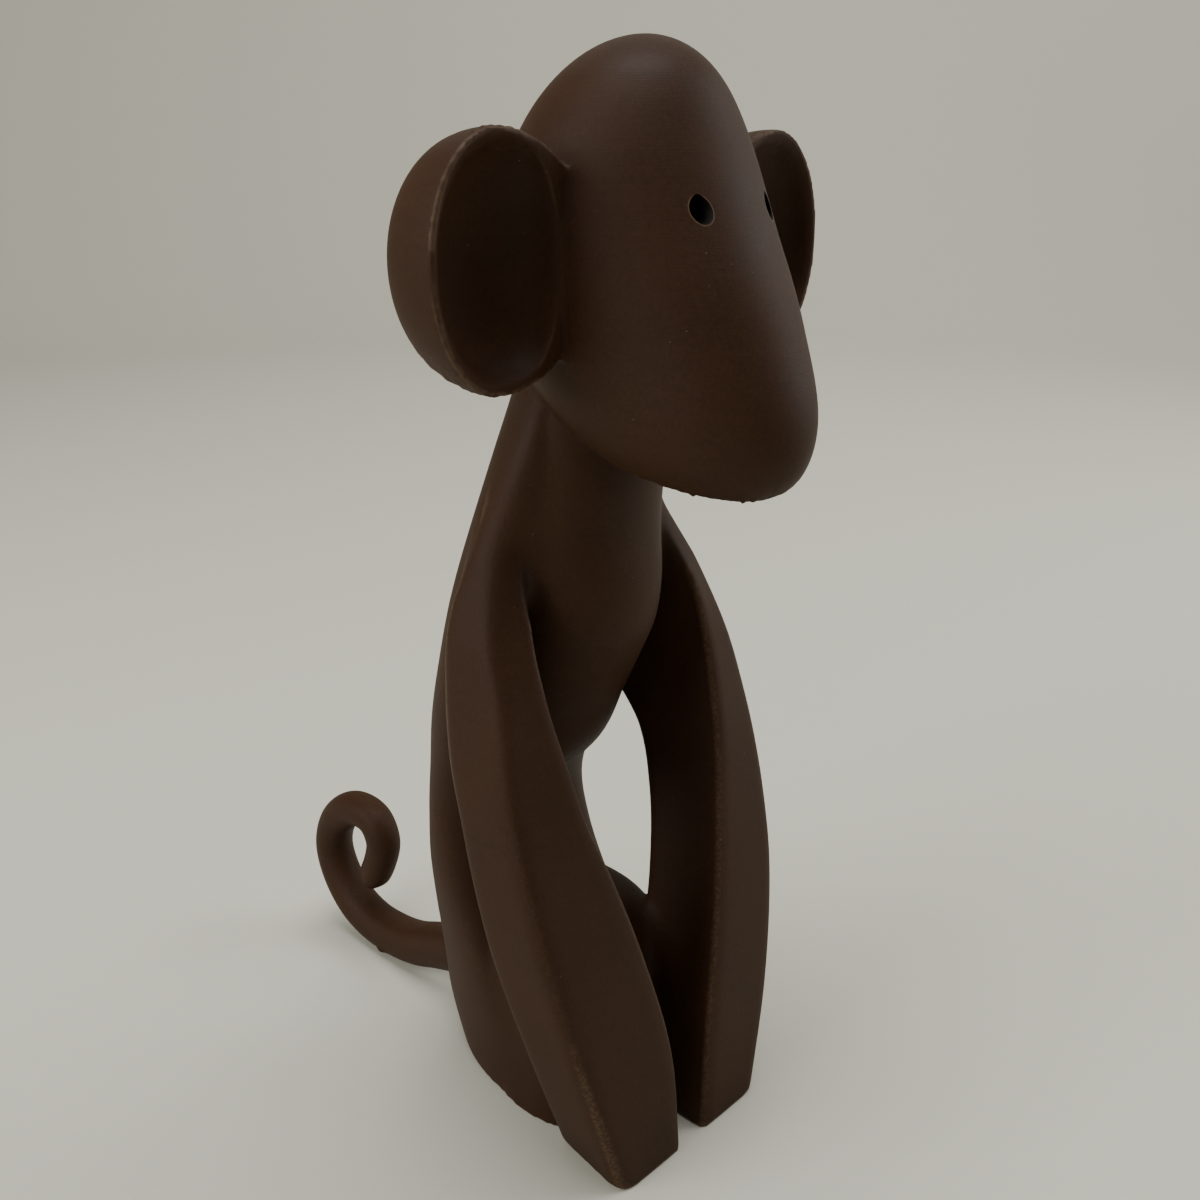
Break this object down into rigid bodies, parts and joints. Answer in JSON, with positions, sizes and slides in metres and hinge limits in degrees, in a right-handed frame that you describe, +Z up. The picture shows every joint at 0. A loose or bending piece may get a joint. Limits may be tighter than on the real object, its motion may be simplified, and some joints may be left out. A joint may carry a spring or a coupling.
{
  "type": "monkey figurine",
  "caption": "Seated stylised monkey with cupped ears, long arms reaching down to the table and a curled tail: a brown plastic desk ornament printed in one piece.",
  "frame": {"origin": "on the table line under the figure, on its plane of symmetry, midway between the hands and the back of the seat", "axes": "+Z up; -Y is the way the monkey faces; +X is to its own left"},
  "size_m": [0.0782, 0.1161, 0.17],
  "materials": {
    "printed_plastic": "matte dark brown plastic with fine horizontal print layers"
  },
  "bodies": {
    "root": {"monkey_figurine": "printed_plastic"}
  },
  "joints": []
}
